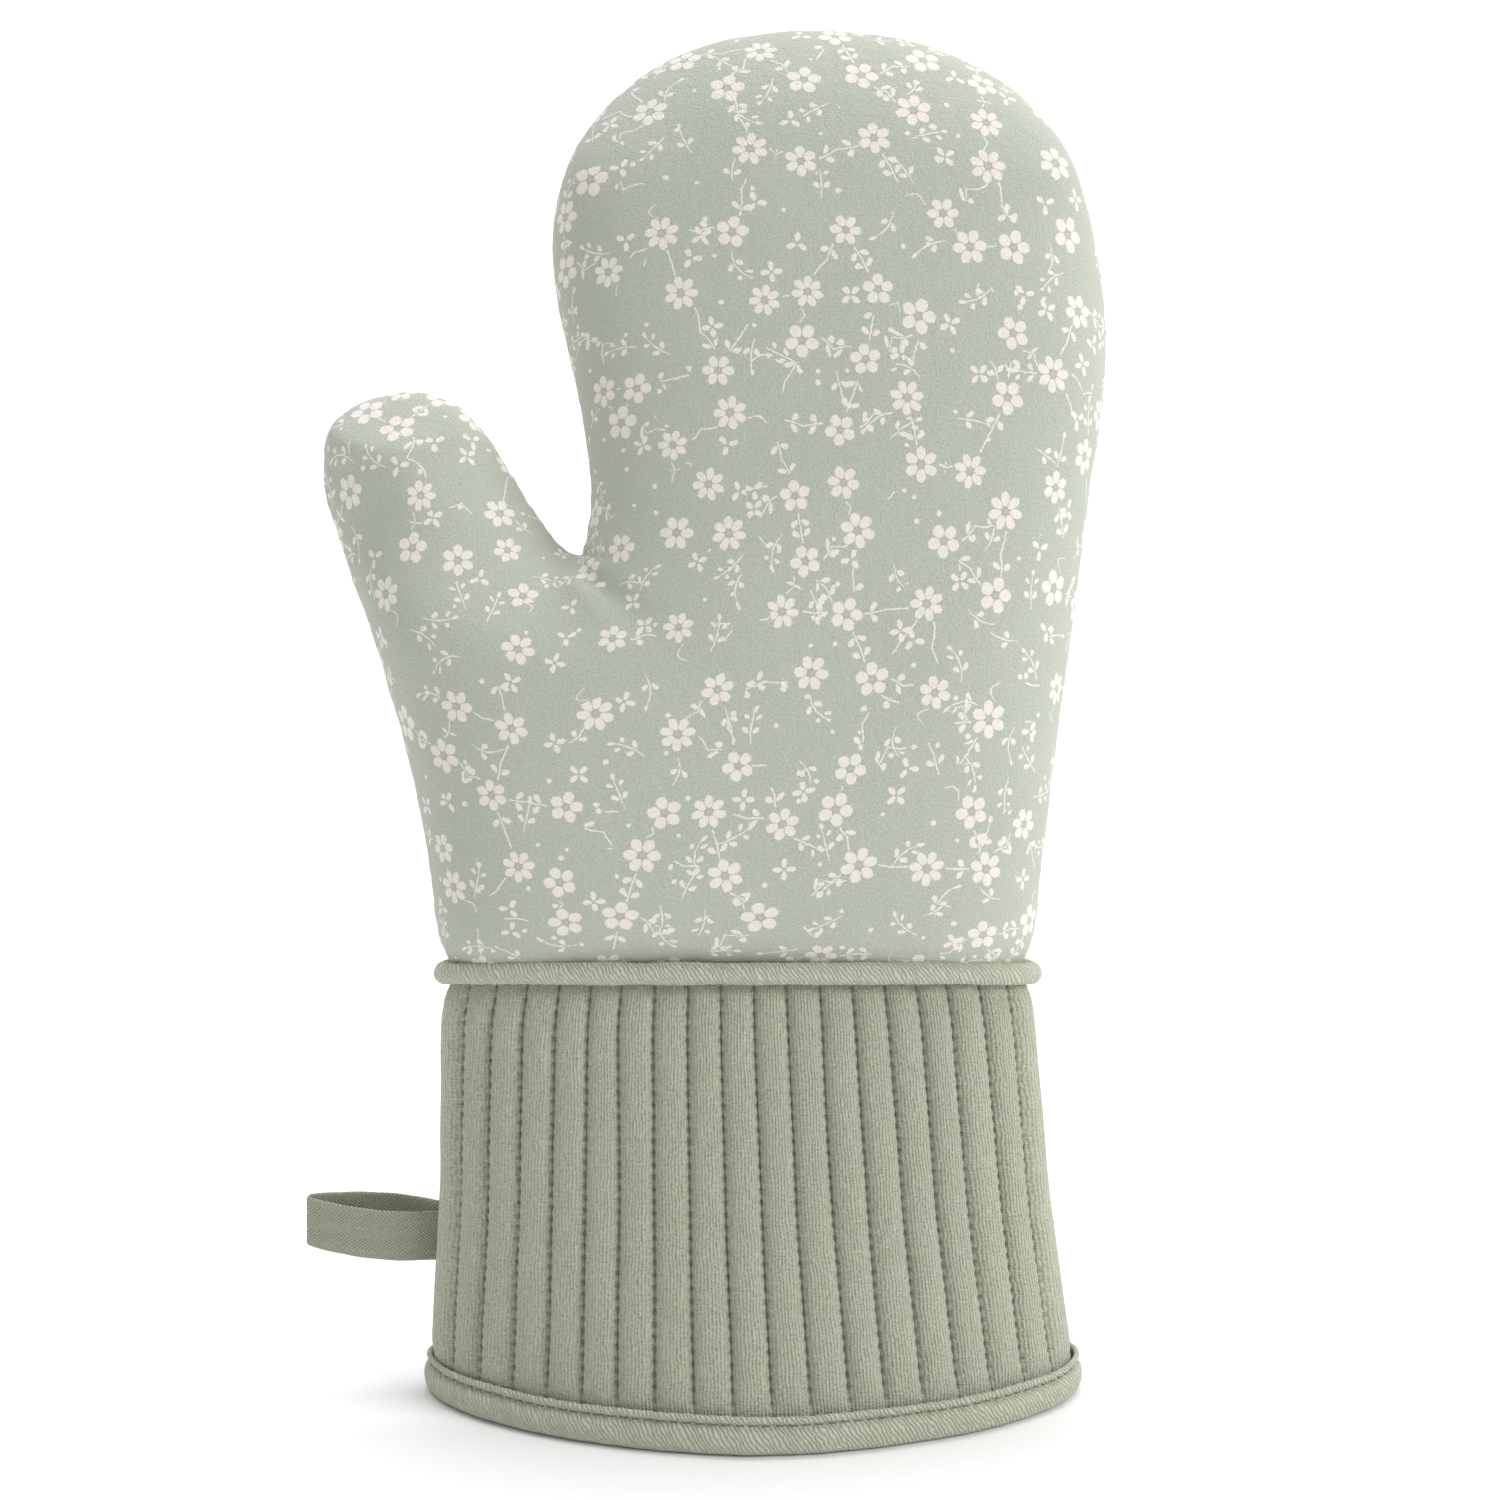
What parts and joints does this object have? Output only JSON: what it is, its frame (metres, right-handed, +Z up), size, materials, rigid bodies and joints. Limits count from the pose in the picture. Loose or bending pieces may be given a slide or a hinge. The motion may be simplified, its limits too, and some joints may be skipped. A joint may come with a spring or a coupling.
{
  "type": "oven mitt",
  "caption": "Padded oven mitt with a thumb, a piped wrist, a ribbed quilted cuff with a bound hem, and a hanging loop.",
  "frame": {"origin": "on the table plane under the mitt, at the middle of its overall width and depth", "axes": "+Z up towards the fingertips, -Y the front, -X the thumb side"},
  "size_m": [0.203, 0.0894, 0.3444],
  "materials": {
    "printed_cotton": "matt plain-woven cotton, sage green with a small scattered pale floral print",
    "ribbed_terry": "matt short-loop terry with a fine cord, quilted in vertical channels",
    "bias_cotton": "matt bias-cut cotton strip with a slanting weave",
    "twill_tape": "matt herringbone twill tape",
    "wadding": "soft white heat-resistant wadding",
    "lining_cotton": "matt plain cotton lining",
    "thread": "matt spun sewing thread",
    "filler_cord": "soft twisted cotton filler cord"
  },
  "bodies": {
    "mitt": {"hand_front_panel": "printed_cotton", "hand_back_panel": "printed_cotton", "hand_front_wadding": "wadding", "hand_back_wadding": "wadding", "hand_front_lining": "lining_cotton", "hand_back_lining": "lining_cotton", "hand_outline_seam_thread": "thread", "cuff_front_panel": "ribbed_terry", "cuff_back_panel": "ribbed_terry", "cuff_front_wadding": "wadding", "cuff_back_wadding": "wadding", "cuff_front_lining": "lining_cotton", "cuff_back_lining": "lining_cotton", "cuff_front_quilting_thread": "thread", "cuff_back_quilting_thread": "thread", "cuff_left_seam_thread": "thread", "cuff_right_seam_thread": "thread", "wrist_piping_cover": "bias_cotton", "wrist_piping_cord": "filler_cord", "hem_binding": "bias_cotton", "hem_topstitch_thread": "thread", "loop_sewn_ends": "twill_tape"},
    "hanging loop": {"hanging_loop": "twill_tape"}
  },
  "joints": [
    {"name": "loop_swing", "type": "hinge", "parent": "mitt", "child": "hanging loop", "pos_m": [-0.0674, 0, 0.0393], "axis": [0, 0, 1], "range_deg": [-25, 25]}
  ]
}
